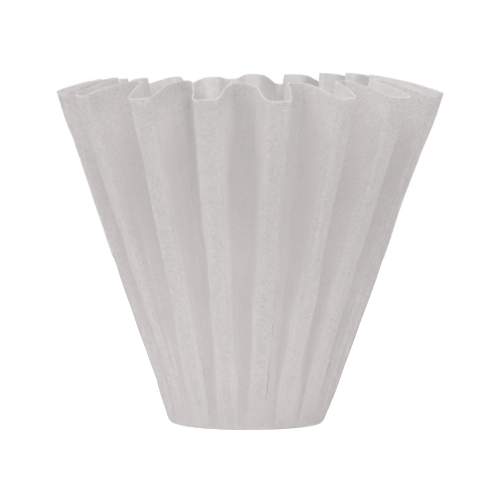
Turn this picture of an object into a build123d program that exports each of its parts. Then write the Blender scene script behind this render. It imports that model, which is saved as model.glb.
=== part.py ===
import os
from math import asin, ceil, cos, degrees, radians, sin, tan

from build123d import *

# Driving dimensions, in millimetres.
base_radius = 25.0      # flat round bottom that the filter stands on
wall_length = 112.0     # along the paper, from the edge of the bottom to the rim
paper = 0.25            # thickness of the one sheet
fold_radius = 2.4       # outside of a fold where it comes to the rim
centre_shift = 0.9      # how far the press missed the middle of the round sheet, towards -X

# The bottom's edge is shared out among the flutes. At 1 all get the same piece of it, and at 0
# each gets a piece in proportion to its own length of rim.
even_spacing_share = 0.5

# Where the first fold of the table leaves the bottom's edge. All bearings are in degrees about
# the middle, from the front, -Y, round towards +X.
first_foot_bearing = -76.5

# The folds of each flute, in order round the filter, as pairs of the bearing at the rim and the
# lean of the paper along the fold, in degrees outwards from straight up. The outer folds of a
# flute stand first, then the inner ones that part it from the next.
flutes = [
    [(-87.0, 18.7), (-75.5, 19.3), (-74.5, 15.4), (-82.2, 9.0), (-76.8, 8.6)],
    [(-68.0, 12.8), (-64.2, 18.6), (-55.9, 19.0), (-57.6, 14.7), (-53.3, 9.2), (-46.4, 10.7)],
    [(-36.5, 19.3), (-29.3, 18.4), (-31.7, 11.1), (-29.5, 6.8), (-22.4, 9.8)],
    [(-15.7, 19.1), (-8.5, 18.6), (-6.6, 9.3), (-0.6, 9.2), (3.2, 11.8)],
    [(5.8, 19.3), (12.8, 19.3), (14.6, 14.5), (17.2, 9.4), (24.5, 9.7)],
    [(27.8, 19.4), (34.9, 18.6), (40.8, 8.3), (47.1, 9.1)],
    [(47.6, 19.0), (56.0, 19.3), (65.1, 9.7), (69.4, 9.8), (70.8, 12.4), (67.2, 14.9)],
    [(67.8, 20.0), (72.9, 19.7), (79.3, 10.6), (86.5, 10.6)],
    [(84.6, 19.6), (92.7, 19.5), (98.0, 10.7), (112.5, 8.7)],
    [(114.0, 19.4), (121.5, 19.4), (122.5, 8.4), (130.0, 7.9)],
    [(131.5, 19.4), (138.5, 19.4), (141.0, 11.3), (148.0, 9.6)],
    [(151.5, 19.4), (156.8, 19.4), (157.5, 12.6), (165.4, 12.1)],
    [(168.6, 19.4), (171.4, 19.4), (174.7, 12.4), (180.5, 12.4)],
    [(183.0, 16.3), (188.3, 16.3), (190.0, 14.8), (194.8, 14.8)],
    [(196.8, 18.8), (200.4, 18.8), (204.6, 14.2), (208.0, 14.0)],
    [(211.8, 18.8), (216.5, 18.8), (216.6, 14.7), (223.6, 14.1)],
    [(221.3, 18.9), (227.0, 18.9), (225.6, 14.5), (233.0, 14.4)],
    [(233.0, 18.8), (240.0, 18.8), (240.0, 13.8), (246.5, 13.8)],
    [(245.5, 18.7), (252.5, 18.7), (252.5, 13.7), (258.5, 13.5)],
    [(258.0, 18.6), (264.5, 18.6), (264.5, 12.6), (269.0, 10.6)],
]

# The paper between two folds gives each of them at most this much of its width.
fold_room_share = 0.46

# The most that a fold turns from one of its narrow flats to the next, in degrees.
flat_turn = 30.0

full_turn = 360.0
quarter_turn = full_turn / 4


def round_the_middle(bearing, radius, level):
    turn = radians(bearing)
    return Vector(radius * sin(turn), -radius * cos(turn), level)


def next_in(ring):
    return ring[1:] + ring[:1]


# Where the folds meet the rim, and how far the paper runs from each to the next.
folds = [fold for flute in flutes for fold in flute]
rim_points = []
for bearing, lean in folds:
    reach = base_radius + wall_length * sin(radians(lean))
    rim_points.append(round_the_middle(bearing, reach, wall_length * cos(radians(lean))))
runs = [(far - near).length for near, far in zip(rim_points, next_in(rim_points))]

# The bearings at which the folds leave the bottom's edge, and how much of it each run takes.
foot_bearings = []
foot_widths = []
foot_bearing = first_foot_bearing
for flute in flutes:
    own_runs = runs[len(foot_bearings):len(foot_bearings) + len(flute)]
    even_width = full_turn / len(flutes)
    own_width = full_turn * sum(own_runs) / sum(runs)
    width = even_width * even_spacing_share + own_width * (1 - even_spacing_share)
    for run in own_runs:
        foot_bearings.append(foot_bearing)
        foot_widths.append(width * run / sum(own_runs))
        foot_bearing += foot_widths[-1]

# The wall is drawn up to one level above its rim. Each fold runs straight up to it.
drawn_level = wall_length + centre_shift
corners = []
for bearing, rim_point in zip(foot_bearings, rim_points):
    foot = round_the_middle(bearing, base_radius, 0)
    corners.append(foot + (rim_point - foot) * (drawn_level / rim_point.Z))

# How sharply the paper turns at each corner, to the left where a fold points outwards, and how
# round the fold is there. The tangents are what a fold takes of the paper before and after it.
sides = [far - near for near, far in zip(corners, next_in(corners))]
turns = []
fold_radii = []
for before, after in zip(sides[-1:] + sides, sides):
    left = 1 if before.cross(after).Z > 0 else -1
    turns.append(left * before.get_angle(after))
    room = fold_room_share * min(before.length, after.length)
    fold_radii.append(min(fold_radius, room / tan(radians(abs(turns[-1])) / 2)))


# All that lies within one face of the paper, from the bottom up to the drawn level. The inset is
# zero for the outer face and the paper's thickness for the inner one.
def within_face(inset):
    outline = []
    radii = []
    tangents = []
    for corner, side, turn, radius in zip(corners, sides, turns, fold_radii):
        half_turn = tan(radians(turn) / 2)
        along = side.normalized()
        outline.append(Vector(corner.X - (along.Y - along.X * half_turn) * inset,
                              corner.Y + (along.X + along.Y * half_turn) * inset))
        radii.append(radius - inset if turn > 0 else radius + inset)
        tangents.append(radii[-1] * abs(half_turn))
    with BuildLine() as top:
        FilletPolyline(*outline, radius=radii, close=True)
    arcs_and_lines = top.edges()

    # Each fold and each run of paper has its own piece of the bottom's edge to rise from. A fold
    # is made of a few narrow flats.
    lengths = [(far - near).length for near, far in zip(outline, next_in(outline))]
    heads = []
    feet = []
    bends_in = []
    for i, bearing in enumerate(foot_bearings):
        fold, run = arcs_and_lines[2 * i:2 * i + 2]
        first = bearing - foot_widths[i - 1] * tangents[i] / lengths[i - 1]
        last = bearing + foot_widths[i] * tangents[i] / lengths[i]
        flats = ceil(abs(turns[i]) / flat_turn)
        for n in range(flats):
            heads.append(fold @ (n / flats))
            feet.append(first + (last - first) * n / flats)
        heads.append(run @ 0)
        feet.append(last)
        bends_in += [turns[i] > next_in(turns)[i]] * (flats + 1)
    feet = [round_the_middle(bearing, base_radius - inset, inset) for bearing in feet]
    heads = [Vector(head.X, head.Y, drawn_level) for head in heads]

    # A flat twists as it rises, so it is two triangles, creased from the inner fold's foot to the
    # outer fold's head.
    faces = [Face(Wire.make_polygon(feet[::-1]))]
    for foot, next_foot, head, next_head, bent_in in zip(
        feet, next_in(feet), heads, next_in(heads), bends_in
    ):
        if bent_in:
            triangles = [(foot, next_foot, head), (head, next_foot, next_head)]
        else:
            triangles = [(foot, next_foot, next_head), (next_head, head, foot)]
        faces += [Face(Wire.make_polygon(triangle)) for triangle in triangles]
    faces.append(Face(Wire.make_polygon(heads)))
    return Solid(Shell(faces))


os.makedirs("parts", exist_ok=True)

with BuildPart() as filter_paper:
    add(within_face(0))
    add(within_face(paper), mode=Mode.SUBTRACT)

    # The rim is the edge of a round sheet, so it lies one wall length from the bottom's edge all
    # round. The missed middle leaves more wall on the right, as if that reach were tilted.
    tilt = degrees(asin(centre_shift / base_radius))
    reach_plane = Plane.XZ.rotated((0, 0, tilt))
    with BuildSketch(reach_plane):
        with BuildLine():
            CenterArc((base_radius, 0), wall_length, 0, quarter_turn)
            Polyline(
                (base_radius, wall_length),
                (0, wall_length),
                (0, -base_radius),
                (base_radius + wall_length, -base_radius),
                (base_radius + wall_length, 0),
            )
        make_face()
    revolve(axis=Axis(reach_plane.origin, reach_plane.y_dir), mode=Mode.INTERSECT)
filter_paper.part.label = "filter_paper"
export_step(filter_paper.part, "parts/filter_paper.step")
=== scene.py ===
import bpy
import numpy as np
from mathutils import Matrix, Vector


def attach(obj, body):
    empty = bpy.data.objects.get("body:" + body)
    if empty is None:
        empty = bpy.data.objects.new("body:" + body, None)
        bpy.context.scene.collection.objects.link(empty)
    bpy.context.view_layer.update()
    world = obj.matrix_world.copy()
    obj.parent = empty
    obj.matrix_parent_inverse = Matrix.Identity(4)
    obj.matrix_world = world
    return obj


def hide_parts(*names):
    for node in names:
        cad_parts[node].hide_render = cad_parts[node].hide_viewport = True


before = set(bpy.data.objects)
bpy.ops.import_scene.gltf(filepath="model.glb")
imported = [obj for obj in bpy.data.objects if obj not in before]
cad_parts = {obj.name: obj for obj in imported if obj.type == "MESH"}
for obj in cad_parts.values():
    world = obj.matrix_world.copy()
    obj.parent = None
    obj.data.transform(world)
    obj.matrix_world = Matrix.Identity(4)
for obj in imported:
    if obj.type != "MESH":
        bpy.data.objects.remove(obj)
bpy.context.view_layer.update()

# The camera stands a little above the rim and far off, so that only a narrow slip of the inside
# of the far wall shows over the near one.
mm = 0.001
eye = Vector((0.916, -1500.0, 174.96)) * mm
aim = Vector((0.916, 0.0, 55.19)) * mm
lens_length = 338.9

camera_data = bpy.data.cameras.new("camera")
camera_data.lens = lens_length
camera = bpy.data.objects.new("camera", camera_data)
camera.location = eye
camera.rotation_euler = (aim - eye).to_track_quat("-Z", "Y").to_euler()
bpy.context.scene.collection.objects.link(camera)
bpy.context.scene.camera = camera
bpy.context.scene.view_settings.view_transform = "Standard"


# The filter is one round sheet of white filter paper. A press with a fluted former pushed its
# middle flat and gathered the rest into a wall of soft flutes, each of them folded straight from
# the edge of the bottom to the rim. Nothing is glued or sewn, and the rim is the sheet's cut edge.

# The folds of each flute, in order round the filter, as pairs of the bearing at the rim and the
# lean of the paper along the fold, in degrees. The outer folds stand first, then the inner ones.
flutes = [
    [(-87.0, 18.7), (-75.5, 19.3), (-74.5, 15.4), (-82.2, 9.0), (-76.8, 8.6)],
    [(-68.0, 12.8), (-64.2, 18.6), (-55.9, 19.0), (-57.6, 14.7), (-53.3, 9.2), (-46.4, 10.7)],
    [(-36.5, 19.3), (-29.3, 18.4), (-31.7, 11.1), (-29.5, 6.8), (-22.4, 9.8)],
    [(-15.7, 19.1), (-8.5, 18.6), (-6.6, 9.3), (-0.6, 9.2), (3.2, 11.8)],
    [(5.8, 19.3), (12.8, 19.3), (14.6, 14.5), (17.2, 9.4), (24.5, 9.7)],
    [(27.8, 19.4), (34.9, 18.6), (40.8, 8.3), (47.1, 9.1)],
    [(47.6, 19.0), (56.0, 19.3), (65.1, 9.7), (69.4, 9.8), (70.8, 12.4), (67.2, 14.9)],
    [(67.8, 20.0), (72.9, 19.7), (79.3, 10.6), (86.5, 10.6)],
    [(84.6, 19.6), (92.7, 19.5), (98.0, 10.7), (112.5, 8.7)],
    [(114.0, 19.4), (121.5, 19.4), (122.5, 8.4), (130.0, 7.9)],
    [(131.5, 19.4), (138.5, 19.4), (141.0, 11.3), (148.0, 9.6)],
    [(151.5, 19.4), (156.8, 19.4), (157.5, 12.6), (165.4, 12.1)],
    [(168.6, 19.4), (171.4, 19.4), (174.7, 12.4), (180.5, 12.4)],
    [(183.0, 16.3), (188.3, 16.3), (190.0, 14.8), (194.8, 14.8)],
    [(196.8, 18.8), (200.4, 18.8), (204.6, 14.2), (208.0, 14.0)],
    [(211.8, 18.8), (216.5, 18.8), (216.6, 14.7), (223.6, 14.1)],
    [(221.3, 18.9), (227.0, 18.9), (225.6, 14.5), (233.0, 14.4)],
    [(233.0, 18.8), (240.0, 18.8), (240.0, 13.8), (246.5, 13.8)],
    [(245.5, 18.7), (252.5, 18.7), (252.5, 13.7), (258.5, 13.5)],
    [(258.0, 18.6), (264.5, 18.6), (264.5, 12.6), (269.0, 10.6)],
]
fold_radius = 2.4 * mm
full_turn = 360.0

# The bottom's edge is shared out among the flutes from the foot of the first fold on, half of it
# evenly and half by their lengths of rim. The paper between two folds gives each of them at most
# this much of its width.
first_foot_bearing = -76.5
even_spacing_share = 0.5
fold_room_share = 0.46

# The solid that the sheet replaces gives its sizes. The rim's farthest and nearest reach from the
# bottom's edge give the length of the wall, and how far off its middle the sheet was pressed. The
# wall is drawn up to one level above its rim, and each fold runs straight up to that.
solid = np.array([vertex.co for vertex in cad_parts["filter_paper"].data.vertices])
levels = solid[:, 2]
off_axis = np.hypot(solid[:, 0], solid[:, 1])
touching = 0.01 * mm
rim_from = 0.95
base_radius = off_axis[levels < touching].max()
paper = levels[levels > touching].min()
reaches = np.hypot(off_axis - base_radius, levels)
rim_reaches = reaches[reaches > rim_from * reaches.max()]
wall_length = (rim_reaches.max() + rim_reaches.min()) / 2
centre_shift = (rim_reaches.max() - rim_reaches.min()) / 2
drawn_level = wall_length + centre_shift


def on_circle(bearings, radius):
    turn = np.radians(bearings)
    return np.stack([radius * np.sin(turn), -radius * np.cos(turn)], axis=-1)


def length(vectors):
    return np.linalg.norm(vectors, axis=-1)


def next_of(values):
    return np.roll(values, -1, axis=0)


def last_of(values):
    return np.roll(values, 1, axis=0)


# Where each fold leaves the edge of the bottom, and the corner that it makes at the drawn level.
bearings, leans = np.array([fold for flute in flutes for fold in flute]).T
leans = np.radians(leans)
rim_points = np.column_stack([
    on_circle(bearings, 1.0) * (base_radius + wall_length * np.sin(leans))[:, None],
    wall_length * np.cos(leans),
])
runs = length(next_of(rim_points) - rim_points)
widths = []
for flute in flutes:
    own_runs = runs[len(widths):len(widths) + len(flute)]
    even_width = full_turn / len(flutes)
    own_width = full_turn * own_runs.sum() / runs.sum()
    width = even_width * even_spacing_share + own_width * (1 - even_spacing_share)
    widths += list(width * own_runs / own_runs.sum())
widths = np.array(widths)
foot_bearings = first_foot_bearing + np.concatenate([[0], np.cumsum(widths)[:-1]])
feet = on_circle(foot_bearings, base_radius)
corners = feet + (rim_points[:, :2] - feet) * (drawn_level / rim_points[:, 2])[:, None]

# How sharply the paper turns at each fold, and how round it is there. A tangent is what the fold
# takes of the paper on either side of it.
sides = next_of(corners) - corners
before = last_of(sides)
crossed = before[:, 0] * sides[:, 1] - before[:, 1] * sides[:, 0]
turns = np.arctan2(crossed, (before * sides).sum(axis=1))
half_turns = np.tan(np.abs(turns) / 2)
room = fold_room_share * np.minimum(length(before), length(sides))
radii = np.minimum(fold_radius, room / half_turns)
tangents = radii * half_turns


def turned(vector, angle):
    x, y = vector
    return np.array([x * np.cos(angle) - y * np.sin(angle), x * np.sin(angle) + y * np.cos(angle)])


# The columns of the wall's mesh: a few round each fold, and one every couple of millimetres on
# the run of paper to the next. Each has the place of its head, the bearing of its foot, how far
# along its run it stands, the run's twist from foot to head, and which way its crease goes.
arc_step = np.radians(16)
run_step = 2.1 * mm
columns = []
for i in range(len(corners)):
    along_before = before[i] / length(before[i])
    along = sides[i] / length(sides[i])
    fold_start = corners[i] - along_before * tangents[i]
    across_before = np.array([-along_before[1], along_before[0]])
    fold_middle = fold_start + np.sign(turns[i]) * radii[i] * across_before
    first = foot_bearings[i] - widths[i - 1] * tangents[i] / length(before[i])
    last = foot_bearings[i] + widths[i] * tangents[i] / length(sides[i])
    steps = max(2, int(np.ceil(abs(turns[i]) / arc_step)))
    for share in np.arange(steps) / steps:
        head = fold_middle + turned(fold_start - fold_middle, turns[i] * share)
        columns.append((head, first + (last - first) * share, 0.0, np.zeros(2), 0.0))

    j = (i + 1) % len(corners)
    run_start = corners[i] + along * tangents[i]
    run_end = corners[j] - along * tangents[j]
    foot_end = foot_bearings[i] + widths[i] * (1 - tangents[j] / length(sides[i]))
    foot_chord = on_circle(foot_end, base_radius) - on_circle(last, base_radius)
    twist = run_end - run_start - foot_chord
    crease_way = 1.0 if turns[i] > turns[j] else -1.0
    steps = max(1, int(np.ceil(length(run_end - run_start) / run_step)))
    for share in np.arange(steps) / steps:
        head = run_start + (run_end - run_start) * share
        columns.append((head, last + (foot_end - last) * share, share, twist, crease_way))
column_heads, column_bearings, across, twists, crease_ways = map(np.array, zip(*columns))
column_feet = on_circle(column_bearings, base_radius)
column_count = len(columns)

# A run of paper twists as it rises, and takes it up in a soft crease from the foot of the inner
# fold beside it to the head of the outer one.
crease_share = 0.7
tiny = 1e-12


def wall(share_up):
    """The outer face at a share of the way from the bottom to the drawn level."""
    share_up = share_up * np.ones(column_count)
    near = np.where(crease_ways > 0, across * share_up, across * (1 - share_up))
    far = np.where(crease_ways > 0, (1 - across) * (1 - share_up), (1 - across) * share_up)
    softer = near * far / np.cbrt(near ** 3 + far ** 3 + tiny)
    flat = column_feet + (column_heads - column_feet) * share_up[:, None]
    flat = flat - (crease_share * crease_ways * softer)[:, None] * twists
    return np.column_stack([flat, share_up * drawn_level])


# The press missed the middle of the sheet, so the rim is as far from the bottom's edge all round
# as if that edge were tilted up a little on the right. How far up each column meets the rim is
# found by halving the stretch that it must lie in.
tilt = np.arcsin(centre_shift / base_radius)
tilted_up = np.array([-np.sin(tilt), 0.0, np.cos(tilt)])
lowest_share, highest_share = 0.5, 1.3
halvings = 30
low, high = np.full(column_count, lowest_share), np.full(column_count, highest_share)
for _ in range(halvings):
    middle = (low + high) / 2
    points = wall(middle)
    rise = points @ tilted_up
    flat_reach = length(points - rise[:, None] * tilted_up) - base_radius
    beyond = np.hypot(flat_reach, rise) > wall_length
    high = np.where(beyond, middle, high)
    low = np.where(beyond, low, middle)
rim_share = (low + high) / 2

# The rows of the mesh, from the middle of the bottom out to its edge, round that edge in a soft
# bend, and up the wall to the rim. The last one is narrow, so that the cut edge stays crisp.
bend_length = 1.6 * mm
bend_steps = 5
wall_rows = 44
last_row = 0.45 * mm
halfway_out = 0.5
rows = []
for radius_share in (halfway_out, 1 - bend_length / base_radius):
    rows.append(np.column_stack([column_feet * radius_share, np.zeros(column_count)]))
bend_start, bend_corner = rows[-1], np.column_stack([column_feet, np.zeros(column_count)])
bend_share = bend_length / wall_length
bend_end = wall(rim_share * bend_share)
for step in range(1, bend_steps):
    q = step / bend_steps
    rows.append((1 - q) ** 2 * bend_start + 2 * q * (1 - q) * bend_corner + q ** 2 * bend_end)
shares_up = list(np.linspace(bend_share, 1, wall_rows)[:-1]) + [1 - last_row / wall_length, 1]
row_shares = np.array([0.0] * len(rows) + shares_up)
for share in shares_up:
    rows.append(wall(rim_share * share))
outer = np.array(rows)
row_count = len(rows)


def facing(grid):
    """The way out of the sheet at each point of its outer face."""
    round_it = np.roll(grid, -1, axis=1) - np.roll(grid, 1, axis=1)
    up_it = np.gradient(grid, axis=0)
    out = np.cross(round_it, up_it)
    return out / np.maximum(length(out), tiny)[..., None]


# The bottom's edge was pushed in a little low on the right.
push_bearing, push_width = 92.0, 17.0
push_depth, push_height = 0.9 * mm, 11 * mm
height_fade, bottom_fade = 1.3, 4
bearing_gap = (column_bearings - push_bearing + full_turn / 2) % full_turn - full_turn / 2
push = push_depth * np.exp(-(bearing_gap / push_width) ** 2)
low_down = np.clip(1 - outer[..., 2] / push_height, 0, 1) ** height_fade
low_down = low_down * np.clip(length(outer[..., :2]) / base_radius, 0, 1) ** bottom_fade
outer[..., :2] -= (push * low_down)[..., None] * column_feet / base_radius

# Damp rolls and the hand have left the paper a little uneven. The waves' lengths are in
# millimetres, and they run more round the wall than up it.
waves = 26
wave_height = 0.055 * mm
shortest_wave, longest_wave = 9, 34
along_axes = np.array([1.0, 1.0, 0.35])
flat_height, fade_height = 3 * mm, 12 * mm
rng = np.random.default_rng(7)
unevenness = np.zeros(outer.shape[:2])
for _ in range(waves):
    direction = rng.normal(size=3) * along_axes
    direction = direction / length(direction)
    wave_length = rng.uniform(shortest_wave, longest_wave) * mm
    phase = rng.uniform(0, 2 * np.pi)
    unevenness += np.sin(2 * np.pi * (outer @ direction) / wave_length + phase)
above_bend = np.clip((outer[..., 2] - flat_height) / fade_height, 0, 1)
outer += (unevenness * wave_height * above_bend)[..., None] * facing(outer)

# Small dents and creases in the front of the wall, in millimetres and degrees: how far to the
# right and how high, the lean to the right of its long way, its width, its length and its depth.
dents = [
    (-22.5, 51.0, 15, 1.4, 4.0, 0.45),
    (-26.5, 36.0, 55, 1.5, 5.0, 0.28),
    (8.7, 33.0, 80, 1.6, 4.0, 0.35),
    (-14.5, 14.5, 20, 1.4, 3.5, 0.35),
    (13.8, 15.0, -20, 1.3, 4.0, 0.50),
    (3.4, 6.5, -15, 1.3, 4.0, 0.40),
    (20.5, 15.0, -22, 1.2, 8.0, 0.40),
    (5.3, 20.0, -6, 1.3, 9.0, 0.25),
]
front_fade = 10 * mm
pressed = np.zeros(outer.shape[:2])
for right, high_up, dent_lean, dent_width, dent_length, dent_depth in dents:
    lean_turn = np.radians(dent_lean)
    sideways = outer[..., 0] - right * mm
    upwards = outer[..., 2] - high_up * mm
    over = (sideways * np.cos(lean_turn) - upwards * np.sin(lean_turn)) / (dent_width * mm)
    along_it = (sideways * np.sin(lean_turn) + upwards * np.cos(lean_turn)) / (dent_length * mm)
    pressed += dent_depth * mm * np.exp(-over ** 2 - along_it ** 2)
in_front = np.clip(-outer[..., 1] / front_fade, 0, 1)
outer -= (pressed * in_front)[..., None] * facing(outer)


def evened_out(values, passes, axis):
    """Values round the sheet, each averaged with its two neighbours as often as passes says."""
    for _ in range(passes):
        values = (np.roll(values, 1, axis) + 2 * values + np.roll(values, -1, axis)) / 4
    return values


# The inner face lies one thickness of the paper behind the outer one. Low down, where the folds
# crowd together, it follows them less closely, so that it crosses itself less. At a fold that
# hardly turns, the columns all but coincide and the way out is unsure, so a few of its points
# still come out through the outer face.
crowded_height = 30 * mm
outward = facing(outer)
clear = np.clip(outer[..., 2:] / crowded_height, 0, 1)
outward = evened_out(outward, passes=6, axis=1) * (1 - clear) + outward * clear
outward /= length(outward)[..., None]
inner = outer - outward * paper

# One closed mesh: the outer face, the inner face and the narrow cut edge between them. The last
# two points are the middles of the bottom's two faces.
points = np.concatenate([
    outer.reshape(-1, 3),
    inner.reshape(-1, 3),
    [[0, 0, 0], [0, 0, paper]],
])
inside = row_count * column_count
middles = 2 * inside
here = np.arange(column_count)
after = next_of(here)
faces = []
for row in range(row_count - 1):
    a, b = row * column_count, (row + 1) * column_count
    faces.append(np.column_stack([a + here, a + after, b + after, b + here]))
    faces.append(inside + np.column_stack([b + here, b + after, a + after, a + here]))
top_here, top_after = inside - column_count + here, inside - column_count + after
faces.append(np.column_stack([top_here, top_after, inside + top_after, inside + top_here]))
faces = np.concatenate(faces).tolist()
for k, j in zip(here.tolist(), after.tolist()):
    faces.append([middles, j, k])
    faces.append([middles + 1, inside + k, inside + j])

sharp_angle = 60
mesh = bpy.data.meshes.new("folded_sheet")
mesh.from_pydata(points.tolist(), [], faces)
mesh.polygons.foreach_set("use_smooth", [True] * len(mesh.polygons))
mesh.set_sharp_from_angle(angle=np.radians(sharp_angle))


def mark(name, outer_values, inner_values, middle_value=0.0):
    """Keep a number for each point of the sheet, for the paper's material to read."""
    values = np.concatenate([outer_values.ravel(), inner_values.ravel(), [middle_value] * 2])
    made = mesh.attributes.new(name, "FLOAT", "POINT")
    made.data.foreach_set("value", values.astype(np.float32))


# 1 along the cut edge and 0 elsewhere.
cut_edge = np.zeros(outer.shape[:2])
cut_edge[-1] = 1
mark("cut_edge", cut_edge, cut_edge)

# How far into a hollow between two flutes the paper lies: 0 on the front of a flute and 1 at the
# bottom of the hollow, a little less towards the rim. The bottom and the foot lie in between. The
# paper's material paints shade and light by it.
flute_depth = 17 * mm
less_at_rim = 0.35
in_between = 0.35
foot_height = 10 * mm
head_reach = length(column_heads)
hollow = np.clip((head_reach.max() - head_reach) / flute_depth, 0, 1)
hollow = evened_out(hollow, passes=3, axis=0)
hollow = hollow * (1 - less_at_rim * outer[..., 2] / wall_length)
above_foot = np.clip(outer[..., 2] / foot_height, 0, 1)
hollow = in_between + (hollow - in_between) * above_foot
mark("hollow", hollow, hollow, in_between)

# A faint yellowing low down on the right of the front.
yellow_right, yellow_height, yellow_spread = 14 * mm, 8 * mm, 17 * mm
beside = (outer[..., 0] - yellow_right) / yellow_spread
above = (outer[..., 2] - yellow_height) / yellow_spread
yellowing = np.exp(-beside ** 2 - above ** 2) * in_front
mark("yellowing", yellowing, yellowing)

# How near to the rim, over the last sixth of the wall. It is below 0 on the inner face. The
# paper's material paints shade near the rim by it, and lets less light through there.
rim_band_start, rim_band = 0.84, 0.14
near_rim = np.clip((row_shares - rim_band_start) / rim_band, 0, 1)
near_rim = np.repeat(near_rim, column_count)
mark("near_rim", near_rim, -near_rim)

folded_sheet = bpy.data.objects.new("folded_sheet", mesh)
bpy.context.scene.collection.objects.link(folded_sheet)


class Shade:
    """One output of a material's nodes. Sums on shades add the nodes that work them out."""

    def __init__(self, tree, output):
        self.tree = tree
        self.output = output

    def node(self, kind, settings, sockets, output=0):
        made = self.tree.nodes.new(kind)
        for name, value in settings.items():
            setattr(made, name, value)
        for name, value in sockets.items():
            if isinstance(value, Shade):
                self.tree.links.new(value.output, made.inputs[name])
            else:
                made.inputs[name].default_value = value
        return Shade(self.tree, made.outputs[output] if made.outputs else None)

    def sum(self, operation, first, second):
        return self.node("ShaderNodeMath", {"operation": operation}, {0: first, 1: second})

    def __add__(self, other):
        return self.sum("ADD", self, other)

    def __radd__(self, other):
        return self.sum("ADD", other, self)

    def __sub__(self, other):
        return self.sum("SUBTRACT", self, other)

    def __rsub__(self, other):
        return self.sum("SUBTRACT", other, self)

    def __mul__(self, other):
        return self.sum("MULTIPLY", self, other)

    def __rmul__(self, other):
        return self.sum("MULTIPLY", other, self)


def start_material(name):
    material = bpy.data.materials.new(name)
    material.use_nodes = True
    material.node_tree.nodes.clear()
    return material, Shade(material.node_tree, None)


# The paper is wood fibres laid in a thin open felt, bleached and matt. It is cloudy where the
# pulp lay thicker, and lets some light through.
sheet_paper, shade = start_material("white_filter_paper")
spot = shade.node("ShaderNodeTexCoord", {}, {}, "Object")


def noise(scale, detail, roughness):
    sockets = {"Vector": spot, "Scale": scale, "Detail": detail, "Roughness": roughness}
    return shade.node("ShaderNodeTexNoise", {}, sockets)


def ramp(value, low, high):
    """0 where the value is at low or past it, and 1 where it is at high or past it."""
    sockets = {"Value": value, "From Min": low, "From Max": high}
    return shade.node("ShaderNodeMapRange", {"clamp": True}, sockets)


def marked(name):
    return shade.node("ShaderNodeAttribute", {"attribute_name": name}, {}, "Fac")


fibres = noise(scale=3000.0, detail=2.0, roughness=0.8)
grain = noise(scale=1900.0, detail=3.0, roughness=0.85)
flocks = noise(scale=420.0, detail=4.0, roughness=0.6)
casts = noise(scale=300.0, detail=4.0, roughness=0.65)
clouds = noise(scale=75.0, detail=3.0, roughness=0.5)
depth = marked("hollow")
rimward = marked("near_rim")
aged = marked("yellowing")
edge = marked("cut_edge")

# What the sheet's white turns towards, and how much of it, from the first layer to the last. The
# first three layers are painted shade and light, not the paper's own colour: grey on the flutes'
# fronts and near the rim, and lighter in the hollows.
paper_white = (0.985, 0.965, 0.966, 1.0)
painted_front_shade = (0.530, 0.522, 0.517, 1.0)
painted_hollow_light = (0.998, 0.972, 0.974, 1.0)
painted_rim_shade = (0.560, 0.540, 0.540, 1.0)
thin_spot = (0.760, 0.742, 0.744, 1.0)
thick_spot = (0.998, 0.988, 0.988, 1.0)
pink_cast = (0.930, 0.840, 0.868, 1.0)
green_cast = (0.855, 0.890, 0.840, 1.0)
yellowed = (0.880, 0.840, 0.770, 1.0)
edge_white = (0.970, 0.955, 0.960, 1.0)
felt_thickness = fibres * 0.7 + flocks * 0.3
layers = [
    # painted shade: the fronts of the flutes turned grey, to even them with the hollows
    (painted_front_shade, ramp(depth, in_between, 0.0) * 0.9),
    # painted light: the hollows between the flutes turned lighter, against the shade there
    (painted_hollow_light, ramp(depth, in_between, 1.0) * 0.8),
    # painted shade: the paper turned grey over the last part of the wall below the rim
    (painted_rim_shade, rimward * 0.75),
    (thin_spot, ramp(felt_thickness, 0.50, 0.36)),
    (thick_spot, ramp(felt_thickness, 0.50, 0.64)),
    (pink_cast, ramp(casts, 0.50, 0.68) * 0.85),
    (green_cast, ramp(casts, 0.50, 0.32) * 0.65),
    (thin_spot, ramp(clouds, 0.55, 0.30) * 0.5),
    (yellowed, aged * ramp(clouds, 0.30, 0.60) * 0.7),
    # the cut edge turned back almost to the paper's white, out of the painted shade near the rim
    (edge_white, edge * 0.7),
]
factor_in, colour_in, tint_in, colour_out = 0, 6, 7, 2
colour = paper_white
for tint, amount in layers:
    sockets = {factor_in: amount, colour_in: colour, tint_in: tint}
    colour = shade.node("ShaderNodeMix", {"data_type": "RGBA"}, sockets, colour_out)

# The noises keep to the middle of their range, so the relief is written deeper than it comes out.
fibre_relief = 0.34 * mm
smoothest, roughness_range = 0.84, 0.12
sheen_of_pulp = 0.18
relief = shade.node(
    "ShaderNodeBump",
    {},
    {"Strength": 1.0, "Distance": fibre_relief, "Height": fibres * 0.6 + flocks * 0.4},
    "Normal",
)
face = shade.node(
    "ShaderNodeBsdfPrincipled",
    {},
    {
        "Base Color": colour,
        "Roughness": ramp(fibres, 0.2, 0.8) * roughness_range + smoothest,
        "Specular IOR Level": sheen_of_pulp,
        "Normal": relief,
    },
    "BSDF",
)
lit_through = (0.994, 0.984, 0.983, 1.0)
through = shade.node(
    "ShaderNodeBsdfTranslucent",
    {},
    {"Color": lit_through, "Normal": relief},
    "BSDF",
)

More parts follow.
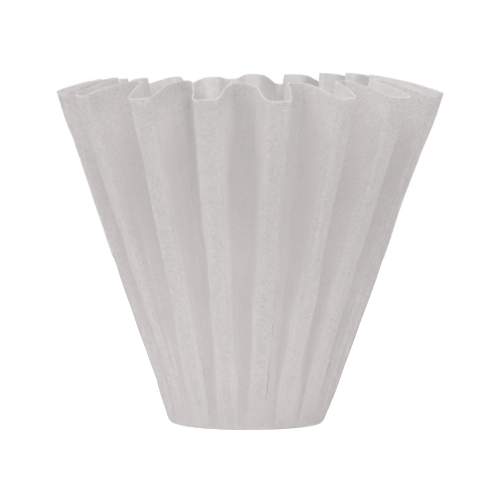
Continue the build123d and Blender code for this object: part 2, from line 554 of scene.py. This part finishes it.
# More of the light goes through in the hollows than on the fronts, and less near the rim. Knots
# of darker fibre let none through, and the cut edge shows few of them. Their share also paints
# shade: fewer knots in the hollows paint them lighter, and more near the rim paint it darker.
front_share, more_in_hollows, less_near_rim = 0.73, 0.16, 0.28
let_through = front_share + depth * more_in_hollows - rimward * rimward * less_near_rim
felt = shade.node("ShaderNodeMixShader", {}, {0: let_through, 1: face, 2: through}, "Shader")
knot_grey = (0.30, 0.27, 0.27, 1.0)
knots = shade.node("ShaderNodeBsdfDiffuse", {}, {"Color": knot_grey}, "BSDF")
knots_and_painted_shade = 0.28 - depth * 0.14 + rimward * 0.04
knotted = ramp(grain, 0.47, 0.67) * knots_and_painted_shade * (1 - edge * 0.6)
felt = shade.node("ShaderNodeMixShader", {}, {0: knotted, 1: felt, 2: knots}, "Shader")
shade.node("ShaderNodeOutputMaterial", {}, {"Surface": felt})
mesh.materials.append(sheet_paper)

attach(folded_sheet, "root")
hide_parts("filter_paper")


# The studio is a pale matt sweep under the filter. The camera sees the sweep and all round it as
# white, while the filter gets only what the sweep throws back and a little light from the room.
floor_radius = 0.65
floor_gap = 0.02 * mm
floor_pale = (0.93, 0.93, 0.93, 1.0)
floor_glow = 0.55
floor_edge = on_circle(np.arange(0, full_turn, 5), floor_radius)
floor_mesh = bpy.data.meshes.new("floor")
floor_mesh.from_pydata([(x, y, 0) for x, y in floor_edge], [], [range(len(floor_edge))])
floor = bpy.data.objects.new("floor", floor_mesh)
floor.location.z = -floor_gap
bpy.context.scene.collection.objects.link(floor)
floor_paint, shade = start_material("floor_white")
seen = shade.node("ShaderNodeLightPath", {}, {}, "Is Camera Ray")
matt = shade.node("ShaderNodeBsdfDiffuse", {}, {"Color": floor_pale}, "BSDF")
glow = shade.node("ShaderNodeEmission", {}, {"Strength": seen * floor_glow}, "Emission")
both = shade.node("ShaderNodeAddShader", {}, {0: matt, 1: glow}, "Shader")
shade.node("ShaderNodeOutputMaterial", {}, {"Surface": both})
floor_mesh.materials.append(floor_paint)

world = bpy.data.worlds.new("studio")
bpy.context.scene.world = world
world.use_nodes = True
world.node_tree.nodes.clear()
shade = Shade(world.node_tree, None)
seen = shade.node("ShaderNodeLightPath", {}, {}, "Is Camera Ray")
white = (1.0, 1.0, 1.0, 1.0)
around = 0.10
strength = seen * (1 - around) + around
light = shade.node("ShaderNodeBackground", {}, {"Color": white, "Strength": strength})
shade.node("ShaderNodeOutputWorld", {}, {"Surface": light})


# Each soft box is a round lamp with a cloth front, aimed at the middle of the filter. A wide one
# right overhead and one aimed down into the open bowl give most of the light, and weaker ones at
# the sides and in front soften the flutes' shadows.
def soft_box(name, bearing, height_angle, distance, across_it, watts):
    lamp = bpy.data.lights.new(name, "AREA")
    lamp.shape = "DISK"
    lamp.size = across_it
    lamp.energy = watts
    stand = bpy.data.objects.new(name, lamp)
    x, y = on_circle(bearing, distance * np.cos(np.radians(height_angle)))
    stand.location = (x, y, distance * np.sin(np.radians(height_angle)))
    to_filter = Vector((0, 0, wall_length / 2)) - stand.location
    stand.rotation_euler = to_filter.to_track_quat("-Z", "Y").to_euler()
    bpy.context.scene.collection.objects.link(stand)


soft_box("high_light", -20, 85, 1.6, 3.0, 29.4)
soft_box("bowl_light", 0, 62, 1.7, 1.0, 9.0)
soft_box("left_light", -62, 42, 1.8, 1.0, 10.0)
soft_box("front_light", 5, 3, 2.0, 1.2, 3.9)
soft_box("right_light", 60, 2, 2.0, 1.4, 8.0)
soft_box("side_light", -110, 20, 2.0, 1.2, 3.8)
